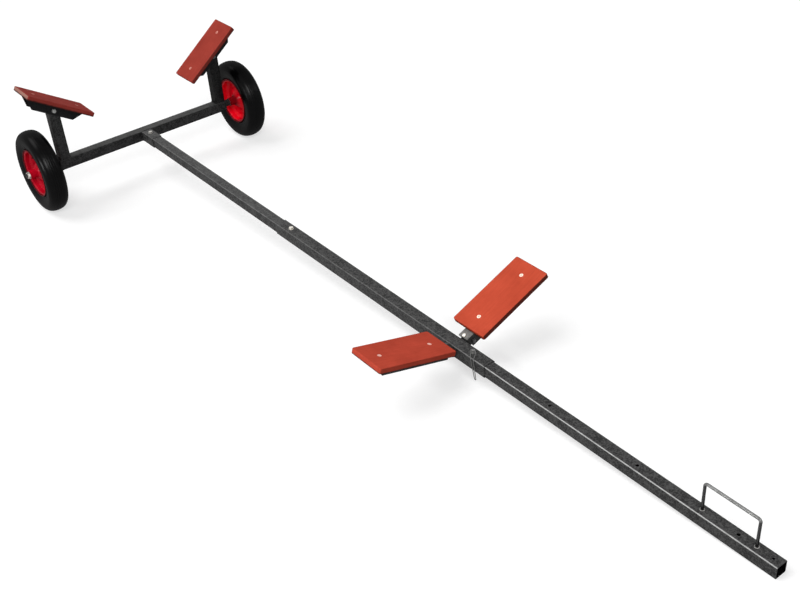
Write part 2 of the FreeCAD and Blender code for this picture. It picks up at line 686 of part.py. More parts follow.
def make_drawbar_bolt(x):
    bolt = bolt_and_nut(BAR_BOLT_D, SLEEVE_SIDE)
    bolt.translate(V(x, 0, SLEEVE_SIDE / 2))
    return bolt


def make_pin():
    """Locking pin with a flat head and a drilled knob."""
    top = SLEEVE_SIDE / 2
    pin = rod(PIN_D / 2, V(PIN_X, 0, -top - PIN_TAIL), V(PIN_X, 0, top + OVERLAP))
    head = rod(PIN_HEAD_R, V(PIN_X, 0, top), V(PIN_X, 0, top + PIN_HEAD_T))
    knob_top = top + PIN_HEAD_T + PIN_KNOB_T
    knob = rod(PIN_KNOB_R, V(PIN_X, 0, top + OVERLAP), V(PIN_X, 0, knob_top))
    pin = pin.multiFuse([head, knob]).removeSplitter()
    eye_z = clip_top_z()
    hole = rod(CLIP_WIRE_R + PIN_FIT, V(PIN_X - CUT, 0, eye_z), V(PIN_X + CUT, 0, eye_z))
    return pin.cut(hole)


def clip_top_z():
    return SLEEVE_SIDE / 2 + PIN_HEAD_T + PIN_KNOB_T / 2


def make_clip():
    """Sprung wire loop: through the knob, over the right side of the bar, hanging to a point."""
    side_y = -SLEEVE_SIDE / 2 - CLIP_SIDE_GAP
    edge_z = SLEEVE_SIDE / 2 + CLIP_EDGE_GAP
    places = [(0, 0, 0, clip_top_z()), (CLIP_TOP_HALF, 0, 0, clip_top_z()),
              (CLIP_EDGE_HALF, CLIP_LEAN_EDGE, side_y, edge_z),
              (CLIP_TIP_HALF, CLIP_LEAN_TIP, side_y, CLIP_TIP_Z),
              (0, CLIP_LEAN_TIP, side_y, CLIP_TIP_Z)]
    legs = []
    for side in (-1, 1):
        points = [V(PIN_X + lean + side * spread, y, z) for spread, lean, y, z in places]
        legs.append(bent_wire(points, CLIP_BEND_R, CLIP_WIRE_R))
    return legs[0].fuse(legs[1])


def make_handle():
    top = BAR_SIDE / 2
    high = top + HANDLE_H - HANDLE_R
    points = [V(HANDLE_REAR_X, 0, top), V(HANDLE_REAR_X, 0, high),
              V(HANDLE_FRONT_X, 0, high), V(HANDLE_FRONT_X, 0, top)]
    return bent_wire(points, HANDLE_BEND_R, HANDLE_R)


parts = {}
parts["axle_tube"] = make_axle_tube()

socket = make_bar(AXLE_SIDE / 2, SOCKET_END_X, SLEEVE_SIDE, SLEEVE_WALL)
rear_bar = make_bar(REAR_BAR_START_X, REAR_BAR_END_X, BAR_SIDE, TUBE_WALL)
middle_bar = make_bar(MIDDLE_START_X, MIDDLE_END_X, SLEEVE_SIDE, SLEEVE_WALL)
front_bar = make_bar(FRONT_START_X, FRONT_END_X, BAR_SIDE, TUBE_WALL)
bolt_hole = BAR_BOLT_D + 2 * PIN_FIT
pin_hole = PIN_D + 2 * PIN_FIT
socket = vertical_hole(socket, SOCKET_BOLT_X, bolt_hole)
rear_bar = vertical_hole(rear_bar, SOCKET_BOLT_X, bolt_hole)
rear_bar = vertical_hole(rear_bar, MIDDLE_BOLT_X, bolt_hole)
middle_bar = vertical_hole(middle_bar, MIDDLE_BOLT_X, bolt_hole)
middle_bar = vertical_hole(middle_bar, PIN_X, pin_hole)
front_bar = vertical_hole(front_bar, PIN_X, pin_hole)
for k in range(OPEN_HOLES):
    front_bar = vertical_hole(front_bar, FIRST_HOLE_X - k * HOLE_PITCH, HOLE_D)
front_bar = vertical_hole(front_bar, NOSE_HOLE_X, NOSE_HOLE_D)
parts["drawbar_socket"] = socket
parts["rear_bar"] = rear_bar
parts["middle_bar"] = middle_bar
parts["front_bar"] = front_bar
parts["socket_bolt"] = make_drawbar_bolt(SOCKET_BOLT_X)
parts["sleeve_bolt"] = make_drawbar_bolt(MIDDLE_BOLT_X)
parts["locking_pin"] = make_pin()
parts["pin_keeper"] = make_clip()
parts["pull_handle"] = make_handle()

wheel = {"tyre": make_tyre(), "rim": make_rim(), "hub": make_hub(), "valve": make_valve()}
rear_holes = screw_places(REAR_BOARD_SHIFT)
front_holes = screw_places(FRONT_BOARD_SHIFT) + (CLAMP_BOLT_Y,)
rear = {"channel": make_channel(AXLE_SIDE, -REAR_CHANNEL_HALF_L, REAR_CHANNEL_HALF_L,
                                CHANNEL_SLANT, REAR_PIVOT_D, rear_holes),
        "board": make_board(REAR_BOARD_SHIFT),
        "board_bolts": Part.makeCompound(make_screws(REAR_BOARD_SHIFT)),
        "pivot": make_pivot(AXLE_SIDE, REAR_PIVOT_D)}
front = {"channel": make_channel(LUG_W, FRONT_CHANNEL_INNER, FRONT_CHANNEL_OUTER,
                                 FRONT_CHANNEL_SLANT, FRONT_PIVOT_D, front_holes),
         "board": make_board(FRONT_BOARD_SHIFT),
         "board_bolts": Part.makeCompound(make_screws(FRONT_BOARD_SHIFT) + [make_clamp_bolt()]),
         "pivot": make_pivot(LUG_W, FRONT_PIVOT_D)}

left = {}
for name, shape in wheel.items():
    moved = shape.copy()
    moved.translate(V(0, WHEEL_Y, 0))
    left[name] = moved
left["spindle"] = make_spindle()
left["axle_nut"] = make_axle_nut()
left["post"] = make_post()
left["front_lug"] = make_lug()
for side in ("left", "right"):
    for name, shape in rear.items():
        left["rear_" + name] = place_support(shape, 0, POST_Y, REAR_PIVOT_Z, REAR_TILT[side])
    for name, shape in front.items():
        left["front_" + name] = place_support(shape, FRONT_X, FRONT_PIVOT_Y, FRONT_PIVOT_Z,
                                              FRONT_TILT[side])
    for name, shape in left.items():
        if side == "right":
            shape = shape.mirror(ORIGIN, Y_AXIS)
        parts[name + "_" + side] = shape

# Parked: the lower edge of the drawbar's front end is on the ground, like both tyres.
half_side = BAR_SIDE / 2
reach = math.hypot(FRONT_END_X, half_side)
pitch = math.asin(TYRE_R / reach) - math.atan2(half_side, FRONT_END_X)
front_x = FRONT_END_X * math.cos(pitch) + half_side * math.sin(pitch)
middle_x = (front_x - TYRE_R) / 2

for name, shape in sorted(parts.items()):
    parked = shape.copy()
    parked.rotate(ORIGIN, Y_AXIS, math.degrees(pitch))
    parked.translate(V(-middle_x, 0, TYRE_R))
    parked.exportStep(os.path.join("parts", name + ".step"))
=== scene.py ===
import math

import bmesh
import bpy
from mathutils import Matrix, Vector


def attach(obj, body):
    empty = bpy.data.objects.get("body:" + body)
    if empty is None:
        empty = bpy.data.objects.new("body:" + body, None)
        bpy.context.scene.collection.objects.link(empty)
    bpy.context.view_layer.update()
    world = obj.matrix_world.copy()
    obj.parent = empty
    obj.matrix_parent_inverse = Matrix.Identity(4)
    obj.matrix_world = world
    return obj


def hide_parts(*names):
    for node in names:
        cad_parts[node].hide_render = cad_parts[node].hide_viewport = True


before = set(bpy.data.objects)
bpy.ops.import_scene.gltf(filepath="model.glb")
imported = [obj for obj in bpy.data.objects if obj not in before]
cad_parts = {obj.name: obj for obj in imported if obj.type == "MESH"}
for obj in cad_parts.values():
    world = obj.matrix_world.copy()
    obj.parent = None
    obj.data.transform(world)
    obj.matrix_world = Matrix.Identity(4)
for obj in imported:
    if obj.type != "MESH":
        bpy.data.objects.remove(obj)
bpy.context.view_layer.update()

# Hand launching trailer: finishes, welds, threads, tyre ribs, floor, lights and camera.
# Sizes are metres. Places are given in the level chassis frame, as in the construction: origin at
# the middle of the axle tube, X forward along the drawbar, Y left, Z up. TO_PARKED turns them into
# the parked pose, nose down on the front end of the drawbar.

TYRE_R = 0.196
PITCH = math.radians(2.6808240378)
MIDDLE_X = 1.7554960463
TO_PARKED = Matrix.Translation((-MIDDLE_X, 0, TYRE_R)) @ Matrix.Rotation(PITCH, 4, "Y")

WHEEL_Y = 0.54
AXLE_HALF_L = 0.447
POST_Y = 0.422
FRONT_X = 2.346
BAR_HALF = 0.0225       # half the side of the rear and the front bar
SLEEVE_HALF = 0.025     # the same for the sleeves, the axle tube and the posts
TUBE_CORNER_R = 0.004
SOCKET_BOLT_X = 0.070
SLEEVE_BOLT_X = 1.303
HANDLE_FRONT_X = 3.626
HANDLE_REAR_X = 3.436
FLIP = Matrix.Scale(-1, 4, (0, 1, 0))
SIDES = (("left", Matrix.Identity(4), 1), ("right", FLIP, -1))

# Pivots of the supports on the left, and each support's tilt, outer end up
REAR_PIVOT = (0.0, POST_Y, 0.2745)
FRONT_PIVOT = (FRONT_X, 0.0625, 0.007)
REAR_TILT = {"left": math.radians(37.3), "right": math.radians(32.7)}
FRONT_TILT = {"left": math.radians(21.5), "right": math.radians(16.5)}

# Boards, in their support's own frame: how far the middle lies out from the pivot, and the sizes
REAR_SHIFT = -0.0045
FRONT_SHIFT = 0.1795
BOARD_HALF_W = 0.080
BOARD_HALF_L = 0.167
BOARD_FOOT = 0.027
BOARD_TOP = 0.047
SCREW_REACH = 0.110     # from the middle of a board to either screw
SCREW_HEAD_R = 0.008
SCREW_HEAD_H = 0.005
SCREW_SUNK = 0.0004
SCREW_TAIL = 0.003
CHANNEL_T = 0.003
REAR_CHANNEL_W = 0.057
FRONT_CHANNEL_W = 0.047


def support_matrix(flip, pivot, tilt):
    """From a support's own level frame, as drawn on the left, to its place on either side."""
    return TO_PARKED @ flip @ Matrix.Translation(pivot) @ Matrix.Rotation(tilt, 4, "X")


# Materials

class Finish:
    """A Principled material whose colour, roughness and bump come from noise on the object."""

    def __init__(self, name, metallic=0.0, coat=0.0, coat_rough=0.3):
        self.material = bpy.data.materials.new(name)
        self.material.use_nodes = True
        self.tree = self.material.node_tree
        self.shader = self.tree.nodes["Principled BSDF"]
        self.shader.inputs["Metallic"].default_value = metallic
        self.shader.inputs["Specular IOR Level"].default_value = 0.0
        self.shader.inputs["Coat Weight"].default_value = coat
        self.shader.inputs["Coat Roughness"].default_value = coat_rough
        self.position = self.add("ShaderNodeTexCoord").outputs["Object"]
        self.normal = None

    def add(self, kind, **inputs):
        node = self.tree.nodes.new(kind)
        for key, value in inputs.items():
            self.feed(node.inputs[key.replace("_", " ")], value)
        return node

    def feed(self, socket, value):
        if isinstance(value, bpy.types.NodeSocket):
            self.tree.links.new(value, socket)
        else:
            socket.default_value = value

    def moved(self, vector, place, rotation=(0, 0, 0), scale=(1, 1, 1)):
        node = self.add("ShaderNodeMapping", Vector=vector)
        node.inputs["Location"].default_value = place
        node.inputs["Rotation"].default_value = rotation
        node.inputs["Scale"].default_value = scale
        return node.outputs["Vector"]

    def level(self):
        """The position in the level chassis frame."""
        back = TO_PARKED.inverted()
        return self.moved(self.position, back.to_translation(), back.to_euler())

    def support(self, side, pivot, tilt):
        """The position in a tilted support's own level frame, as drawn on the left."""
        place = Matrix.Rotation(-tilt, 3, "X") @ -Vector(pivot)
        return self.moved(self.level(), place, (-tilt, 0, 0), (1, side, 1))

    def axes(self, vector):
        split = self.add("ShaderNodeSeparateXYZ", Vector=vector)
        return [split.outputs[axis] for axis in "XYZ"]

    def noise(self, scale, detail=3.0, rough=0.55, vector=None, distortion=0.0):
        node = self.add("ShaderNodeTexNoise", Vector=vector or self.position, Scale=scale,
                        Detail=detail, Roughness=rough, Distortion=distortion)
        return node.outputs["Fac"]

    def cells(self, scale):
        node = self.add("ShaderNodeTexVoronoi", Vector=self.position, Scale=scale)
        return node.outputs["Distance"]

    def span(self, value, low, high, to_low=0.0, to_high=1.0):
        node = self.add("ShaderNodeMapRange", Value=value)
        node.inputs["From Min"].default_value = low
        node.inputs["From Max"].default_value = high
        node.inputs["To Min"].default_value = to_low
        node.inputs["To Max"].default_value = to_high
        return node.outputs["Result"]

    def math(self, operation, a, b):
        node = self.add("ShaderNodeMath")
        node.operation = operation
        self.feed(node.inputs[0], a)
        self.feed(node.inputs[1], b)
        return node.outputs["Value"]

    def blend(self, factor, a, b):
        node = self.add("ShaderNodeMix")
        node.data_type = "RGBA"
        self.feed(node.inputs["Factor"], factor)
        self.feed(node.inputs["A"], a)
        self.feed(node.inputs["B"], b)
        return node.outputs["Result"]

    def colour(self, value):
        self.feed(self.shader.inputs["Base Color"], value)

    def rough(self, value):
        self.feed(self.shader.inputs["Roughness"], value)

    def bump(self, height, distance, strength=1.0):
        node = self.add("ShaderNodeBump", Height=height, Distance=distance, Strength=strength)
        if self.normal is not None:
            self.tree.links.new(self.normal, node.inputs["Normal"])
        self.normal = node.outputs["Normal"]
        self.tree.links.new(self.normal, self.shader.inputs["Normal"])
        self.tree.links.new(self.normal, self.shader.inputs["Coat Normal"])


def rgb(red, green, blue):
    return (red, green, blue, 1.0)


# Where the painted highlight line along the front bar begins and is full, and where the rear bar's
# paler top ends
LINE_FROM_X, LINE_FULL_X = 2.3, 2.6
PALE_TOP_X, PALE_TOP_END_X = 1.1, 1.5
GRIP_LOW_Z, GRIP_HIGH_Z = 0.118, 0.124
WEB_LOW_Z, WEB_HIGH_Z = 0.0248, 0.0262


def edge_highlight(f, half):
    """Where a bar of this half width is painted pale: a painted highlight along its top edges, most
    on the right in front, and a slightly paler top face towards the rear.
    """
    x, y, z = f.axes(f.level())
    # Painted highlight along the rounded top edges, and a slightly paler top face towards the rear
    low, high = half - 0.0036, half - 0.0016
    right = f.span(y, -high, -low, 1.0, 0.0)
    left = f.span(y, low, high, 0.0, 0.2)
    edge = f.math("MULTIPLY", f.math("ADD", right, left), f.span(z, low, high))
    edge = f.math("MULTIPLY", edge, f.span(x, LINE_FROM_X, LINE_FULL_X, 0.20, 0.95))
    top = f.span(z, half - 0.0012, half - 0.0004, 0.0, 0.06)
    top = f.math("MULTIPLY", top, f.span(x, PALE_TOP_X, PALE_TOP_END_X, 1.0, 0.0))
    uneven = f.span(f.noise(45.0, 3.0), 0.3, 0.6, 0.55, 1.0)
    return f.math("MULTIPLY", f.math("MAXIMUM", edge, top), uneven)


def axle_top_scuffs_and_light(f):
    """Where the axle is painted paler: painted light and scuffs on its top face, but not on the
    posts on it.
    """
    z = f.axes(f.level())[2]
    top = f.span(z, SLEEVE_HALF - 0.0018, SLEEVE_HALF - 0.0004, 0.0, 0.5)
    below_posts = f.span(z, SLEEVE_HALF + 0.0002, SLEEVE_HALF + 0.0006, 1.0, 0.0)
    uneven = f.span(f.noise(30.0, 3.0), 0.3, 0.6, 0.5, 1.0)
    return f.math("MULTIPLY", f.math("MULTIPLY", top, below_posts), uneven)


def grip_highlight(f):
    """Where the pull handle gets a painted highlight: its level part."""
    z = f.axes(f.level())[2]
    uneven = f.span(f.noise(70.0, 3.0), 0.3, 0.6, 0.6, 1.0)
    return f.math("MULTIPLY", f.span(z, GRIP_LOW_Z, GRIP_HIGH_Z, 0.0, 0.8), uneven)


def lit_web(f):
    """Where the left front channel is painted paler: painted light on the top of its web."""
    z = f.axes(f.support(1, FRONT_PIVOT, FRONT_TILT["left"]))[2]
    uneven = f.span(f.noise(60.0, 4.0), 0.3, 0.6, 0.6, 1.0)
    return f.math("MULTIPLY", f.span(z, WEB_LOW_Z, WEB_HIGH_Z, 0.0, 0.9), uneven)


def sprayed_paint(name, dark, light, coat, coat_rough, grain=1.0, worn=None,
                  bare=rgb(0.42, 0.42, 0.415), half=None):
    """Satin paint on steel: mottled tone, faint scuffs along the bars, fine orange peel, and a
    pale colour where the given function says: painted highlights and painted light, with scuffs
    on the axle's top. Given half a bar's height, painted shade darkens its low edges, and its
    inside at the open front end."""
    f = Finish(name, coat=coat, coat_rough=coat_rough)
    clouds = f.noise(24.0, 4.0, 0.6)
    patches = f.noise(72.0, 3.0, 0.6)
    speckle = f.noise(190.0, 2.0, 0.6)
    tone = f.math("ADD", f.math("MULTIPLY", clouds, 0.2), f.math("MULTIPLY", patches, 0.3))
    tone = f.math("ADD", tone, f.math("MULTIPLY", speckle, 0.5))
    base = f.blend(f.span(tone, 0.43, 0.57), dark, light)
    scuffs = f.noise(9.0, 6.0, 0.75, f.moved(f.level(), (0, 0, 0), scale=(1.0, 3.5, 3.5)), 0.6)
    scuffed = f.span(scuffs, 0.66, 0.78, 0.0, 0.35)
    base = f.blend(scuffed, base, rgb(0.11, 0.11, 0.112))
    # Painted light: the pale colour goes where the given function says
    if worn:
        base = f.blend(worn(f), base, bare)
    # Painted shade on the low edges, and inside the open front end
    if half:
        x, y, z = f.axes(f.level())
        inner = f.math("MAXIMUM", f.math("ABSOLUTE", y, 0.0), f.math("ABSOLUTE", z, 0.0))
        inside = f.span(inner, half - 0.0028, half - 0.0016, 0.97, 0.0)
        inside = f.math("MULTIPLY", inside, f.span(x, 3.0, 3.1))
        low_edges = f.span(z, 0.0015 - half, 0.0080 - half, 0.9, 0.0)
        base = f.blend(f.math("MAXIMUM", low_edges, inside), base, rgb(0.002, 0.002, 0.002))
    f.colour(base)
    f.rough(f.span(clouds, 0.3, 0.7, 0.42, 0.58))
    f.bump(f.noise(1150.0, 2.0, 0.6), 0.00012 * grain)
    f.bump(f.noise(330.0, 2.0, 0.5), 0.00025 * grain, 0.6)
    f.bump(f.noise(30.0, 2.0, 0.5), 0.0006 * grain, 0.25)
    return f.material


def board_paint(name, side, pivot, tilt, shift, light, dark, flank, dark_foot, bare):
    """Red painted board. Its grain runs along the board. The rims away from the light get painted
    shade, and the foot of its edges is dark up to the height given by dark_foot. Flank is how much
    painted shade the long edge towards the front gets, and highlight is how strong the painted
    highlight on the outer end is."""
    f = Finish(name, coat=0.10, coat_rough=0.45)
    own = f.support(side, pivot, tilt)
    grain = f.noise(150.0, 5.0, 0.6, f.moved(own, (0, 0, 0), scale=(1.0, 0.09, 1.0)), 0.4)
    blotch = f.noise(11.0, 4.0, 0.6)
    fleck = f.noise(700.0, 2.0, 0.6)
    red = f.blend(f.span(blotch, 0.3, 0.7), dark, light)
    red = f.blend(f.span(grain, 0.35, 0.75, 0.0, 0.22), red, rgb(0.26, 0.024, 0.013))
    red = f.blend(f.span(fleck, 0.6, 0.8, 0.0, 0.25), red, rgb(0.60, 0.11, 0.065))
    x, y, z = f.axes(own)
    uneven = f.span(f.noise(60.0, 3.0), 0.3, 0.7, -0.0008, 0.0008)
    # Painted shade on the rims away from the light: the back edge and the far end
    back_rim = f.span(f.math("ADD", x, uneven), 0.0010 - BOARD_HALF_W, 0.0032 - BOARD_HALF_W,
                      0.75, 0.0)
    out_y = f.math("SUBTRACT", y, shift)
    far_y = f.math("MULTIPLY", out_y, side)
    end_rim = f.span(f.math("ADD", far_y, uneven), BOARD_HALF_L - 0.0030, BOARD_HALF_L - 0.0008,
                     0.0, 0.75)
    # Painted shade on the long edge towards the front, as strong as flank
    front_flank = f.span(x, BOARD_HALF_W - 0.0017, BOARD_HALF_W - 0.0005, 0.0, flank)
    # Darker towards the foot of the edges, up to the height given by dark_foot
    foot = f.span(f.math("ADD", z, uneven), BOARD_FOOT + dark_foot * 0.3, BOARD_FOOT + dark_foot, 0.92, 0.0)
    rims = f.math("MAXIMUM", back_rim, end_rim)
    worn = f.math("MAXIMUM", rims, f.math("MAXIMUM", front_flank, foot))
    # Painted highlight on the outer end, in a pale tan
    outer_end = f.span(out_y, BOARD_HALF_L - 0.0010, BOARD_HALF_L - 0.0004, 0.0, bare)
    outer_end = f.math("MULTIPLY", outer_end, f.span(blotch, 0.3, 0.6, 0.6, 1.0))
    red = f.blend(outer_end, red, rgb(0.40, 0.25, 0.20))
    f.colour(f.blend(worn, red, rgb(0.020, 0.007, 0.006)))
    f.rough(f.span(grain, 0.3, 0.7, 0.48, 0.62))
    f.bump(grain, 0.0004, 0.35)
    f.bump(f.noise(520.0, 2.0, 0.6), 0.00022, 0.5)
    f.bump(f.noise(24.0, 2.0, 0.5), 0.0012, 0.18)
    return f.material


def rubber(name):
    """Black rubber with a soft sheen and a little dust."""
    f = Finish(name, coat=0.12, coat_rough=0.27)
    clouds = f.noise(14.0, 4.0, 0.6)
    base = f.blend(f.span(clouds, 0.3, 0.7), rgb(0.0008, 0.0008, 0.0009),
                   rgb(0.0020, 0.0019, 0.0021))
    dust = f.noise(60.0, 5.0, 0.7)
    f.colour(f.blend(f.span(dust, 0.6, 0.8, 0.0, 0.2), base, rgb(0.007, 0.0065, 0.007)))
    f.rough(f.span(clouds, 0.3, 0.7, 0.50, 0.62))
    f.bump(f.noise(1400.0, 2.0, 0.6), 0.00012, 0.6)
    f.bump(f.noise(90.0, 2.0, 0.5), 0.0004, 0.2)
    return f.material


def gloss_paint(name, depth, hub_shade):
    """Bright red paint, with painted shade on the lip of the rim next to the tyre. Hub_shade is
    how much painted shade lies about the hub. Depth is how bright the red is painted."""
    f = Finish(name, coat=0.14, coat_rough=0.16)
    clouds = f.noise(18.0, 3.0, 0.6)
    red = f.blend(f.span(clouds, 0.3, 0.7), rgb(0.64 * depth, 0.0028, 0.013),
                  rgb(0.80 * depth, 0.0045, 0.020))
    specks = f.noise(240.0, 3.0, 0.7)
    red = f.blend(f.span(specks, 0.68, 0.78, 0.0, 0.5), red, rgb(0.25, 0.003, 0.006))
    x, _, z = f.axes(f.level())
    square = f.math("ADD", f.math("MULTIPLY", x, x), f.math("MULTIPLY", z, z))
    radius = f.math("POWER", square, 0.5)
    # Painted shade on the lip of the rim next to the tyre, and about the hub
    lip = f.math("ADD", radius, f.span(f.noise(40.0, 3.0), 0.3, 0.7, -0.002, 0.002))
    painted_shade = f.math("MAXIMUM", f.span(lip, 0.103, 0.110, 0.0, 0.88),
                  f.span(radius, 0.024, 0.044, hub_shade, 0.0))
    f.colour(f.blend(painted_shade, red, rgb(0.030, 0.003, 0.004)))
    f.rough(f.span(clouds, 0.3, 0.7, 0.26, 0.38))
    f.bump(f.noise(420.0, 2.0, 0.5), 0.00018, 0.5)
    f.bump(f.noise(60.0, 2.0, 0.5), 0.0005, 0.2)
    return f.material


def metal(name, low, high, rough_low, rough_high, metallic=1.0):
    """Plated or bare metal, from its dull to its clear patches."""
    f = Finish(name, metallic=metallic)
    clouds = f.noise(130.0, 4.0, 0.65)
    spangle = f.cells(480.0)
    tone = f.blend(f.span(clouds, 0.3, 0.7), low, high)
    f.colour(f.blend(f.span(spangle, 0.1, 0.8, 0.0, 0.3), tone, low))
    f.rough(f.span(clouds, 0.3, 0.7, rough_low, rough_high))
    f.bump(f.noise(900.0, 3.0, 0.6), 0.00008, 0.6)
    return f.material


DARK_GREY, GREY = rgb(0.026, 0.026, 0.0262), rgb(0.078, 0.0775, 0.077)
FRAME_PAINT = sprayed_paint("frame_paint", DARK_GREY, GREY, 0.16, 0.27)
BAR_PAINT = sprayed_paint("bar_paint", DARK_GREY, GREY, 0.16, 0.27,
                          worn=lambda f: edge_highlight(f, BAR_HALF),
                          bare=rgb(0.54, 0.54, 0.535), half=BAR_HALF)
SLEEVE_PAINT = sprayed_paint("sleeve_paint", DARK_GREY, GREY, 0.16, 0.27,
                             worn=lambda f: edge_highlight(f, SLEEVE_HALF), half=SLEEVE_HALF)
HANDLE_PAINT = sprayed_paint("handle_paint", rgb(0.003, 0.003, 0.0032), rgb(0.016, 0.016, 0.0165),
                             0.80, 0.18, worn=grip_highlight, bare=rgb(0.22, 0.22, 0.216))
AXLE_PAINT = sprayed_paint("axle_paint", rgb(0.009, 0.009, 0.0092), rgb(0.038, 0.038, 0.0385),
                           0.15, 0.26, worn=axle_top_scuffs_and_light, bare=rgb(0.12, 0.12, 0.118),
                           half=SLEEVE_HALF)
# Painted shade: a darker copy of the axle paint for the left post
SHADED_POST_PAINT = sprayed_paint("post_paint_left", rgb(0.003, 0.003, 0.003), rgb(0.018, 0.018, 0.018),
                           0.11, 0.28)
# Near black: painted shade on the rear channels under the boards
CHANNEL_PAINT = sprayed_paint("channel_paint", rgb(0.0025, 0.0025, 0.0030),
                              rgb(0.009, 0.009, 0.010), 0.15, 0.34, 0.6)
# Front channels darker than the frame: painted shade on their flanges; the left one also has
# painted light on its web, so the right one is its shaded copy
BRACKET_DARK, BRACKET_LIGHT = rgb(0.008, 0.008, 0.008), rgb(0.030, 0.029, 0.028)
BRACKET_PAINT = sprayed_paint("bracket_paint", BRACKET_DARK, BRACKET_LIGHT, 0.30, 0.34)
LIT_BRACKET = sprayed_paint("worn_bracket", BRACKET_DARK, BRACKET_LIGHT, 0.30, 0.34,
                             worn=lit_web, bare=rgb(0.20, 0.195, 0.185))
RUBBER = rubber("tyre_rubber")
# Lit and shaded copies of one red: the left wheel painted brighter, with painted shade about its
# hub, and the right wheel painted darker
RIM_PAINT = gloss_paint("rim_paint", 1.15, 0.80)
SHADED_RIM = gloss_paint("rim_paint_right", 0.63, 0.0)
ZINC = metal("zinc", rgb(0.50, 0.48, 0.44), rgb(0.78, 0.74, 0.67), 0.30, 0.48)
DULL_ZINC = metal("dull_zinc", rgb(0.14, 0.14, 0.14), rgb(0.32, 0.32, 0.31), 0.40, 0.58)
NUT_ZINC = metal("nut_zinc", rgb(0.30, 0.29, 0.27), rgb(0.62, 0.60, 0.57), 0.32, 0.48)
WIRE = metal("wire", rgb(0.09, 0.09, 0.09), rgb(0.20, 0.20, 0.195), 0.34, 0.50)
PALE_SCREW = metal("pale_screw", rgb(0.60, 0.44, 0.36), rgb(0.86, 0.66, 0.56), 0.40, 0.55, 0.6)
ROSE_SCREW = metal("rose_screw", rgb(0.72, 0.40, 0.34), rgb(0.92, 0.60, 0.52), 0.42, 0.58, 0.25)
PAINTED_SCREW = metal("painted_screw", rgb(0.44, 0.15, 0.12), rgb(0.72, 0.33, 0.27), 0.42, 0.58,
                      0.5)
DARK_BOLT = metal("dark_bolt", rgb(0.05, 0.05, 0.052), rgb(0.12, 0.12, 0.12), 0.38, 0.55)
WELD_STEEL = metal("weld_steel", rgb(0.12, 0.12, 0.12), rgb(0.30, 0.29, 0.28), 0.34, 0.52)
VALVE_RUBBER = rubber("valve_rubber")

# Light and dark tones of the board reds: lit and shaded copies of one red, painted brightest on the
# front left board, darker on the front right, and darker still on the rear boards
REAR_RED = (rgb(0.37, 0.050, 0.034), rgb(0.29, 0.036, 0.025))
SHADED_RED = (rgb(0.33, 0.044, 0.034), rgb(0.24, 0.030, 0.024))
FRONT_RED = (rgb(0.58, 0.080, 0.038), rgb(0.48, 0.062, 0.028))
NEAR_RED = (rgb(0.54, 0.072, 0.040), rgb(0.43, 0.055, 0.030))

# Finishes of nodes, by full name or else by the name without its side
FINISHES = {"spindle": AXLE_PAINT, "axle_tube": AXLE_PAINT, "post": AXLE_PAINT,
            "post_left": SHADED_POST_PAINT, "axle_nut": NUT_ZINC, "tyre": RUBBER, "rim": RIM_PAINT,
            "hub": RIM_PAINT, "rim_right": SHADED_RIM, "hub_right": SHADED_RIM,
            "valve": VALVE_RUBBER, "rear_channel": CHANNEL_PAINT, "front_channel": BRACKET_PAINT,
            "front_channel_left": LIT_BRACKET, "drawbar_socket": SLEEVE_PAINT,
            "middle_bar": SLEEVE_PAINT, "rear_bar": BAR_PAINT, "front_bar": BAR_PAINT,
            "pull_handle": HANDLE_PAINT, "front_lug": AXLE_PAINT,
            "rear_board_bolts": PAINTED_SCREW, "front_board_bolts": PALE_SCREW,
            "front_board_bolts_right": ROSE_SCREW, "rear_pivot": DULL_ZINC,
            # The left rear pivot's dark finish is painted shade under the board
            "rear_pivot_left": DARK_BOLT, "front_pivot": DARK_BOLT, "socket_bolt": NUT_ZINC,
            "sleeve_bolt": ZINC, "locking_pin": DULL_ZINC, "pin_keeper": WIRE}
# For each board: its reds, the painted shade on its front flank, the height of its dark foot, and
# the painted highlight on its outer end
for end, side_name, side, pivot, tilts, shift, reds, flank, dark_foot, bare in (
        ("rear", "left", 1, REAR_PIVOT, REAR_TILT, REAR_SHIFT, REAR_RED, 0.55, 0.010, 0.7),
        ("rear", "right", -1, REAR_PIVOT, REAR_TILT, REAR_SHIFT, SHADED_RED, 0.15, 0.009, 0.7),
        ("front", "left", 1, FRONT_PIVOT, FRONT_TILT, FRONT_SHIFT, FRONT_RED, 0.84, 0.010, 0.0),
        ("front", "right", -1, FRONT_PIVOT, FRONT_TILT, FRONT_SHIFT, NEAR_RED, 0.32, 0.006, 0.0)):
    FINISHES["%s_board_%s" % (end, side_name)] = board_paint(
        "board_paint_%s_%s" % (end, side_name), side, pivot, tilts[side_name], shift,
        *reds, flank, dark_foot, bare)


def finish_of(name):
    """The finish of a node, by its full name or else by its kind."""
    kind = name.replace("_left", "").replace("_right", "")
    return FINISHES.get(name) or FINISHES.get(kind, FRAME_PAINT)


for name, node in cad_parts.items():
    for material_slot in node.material_slots:
        material_slot.material = finish_of(name)


# Forms. Each one is made of rings of points joined by faces.

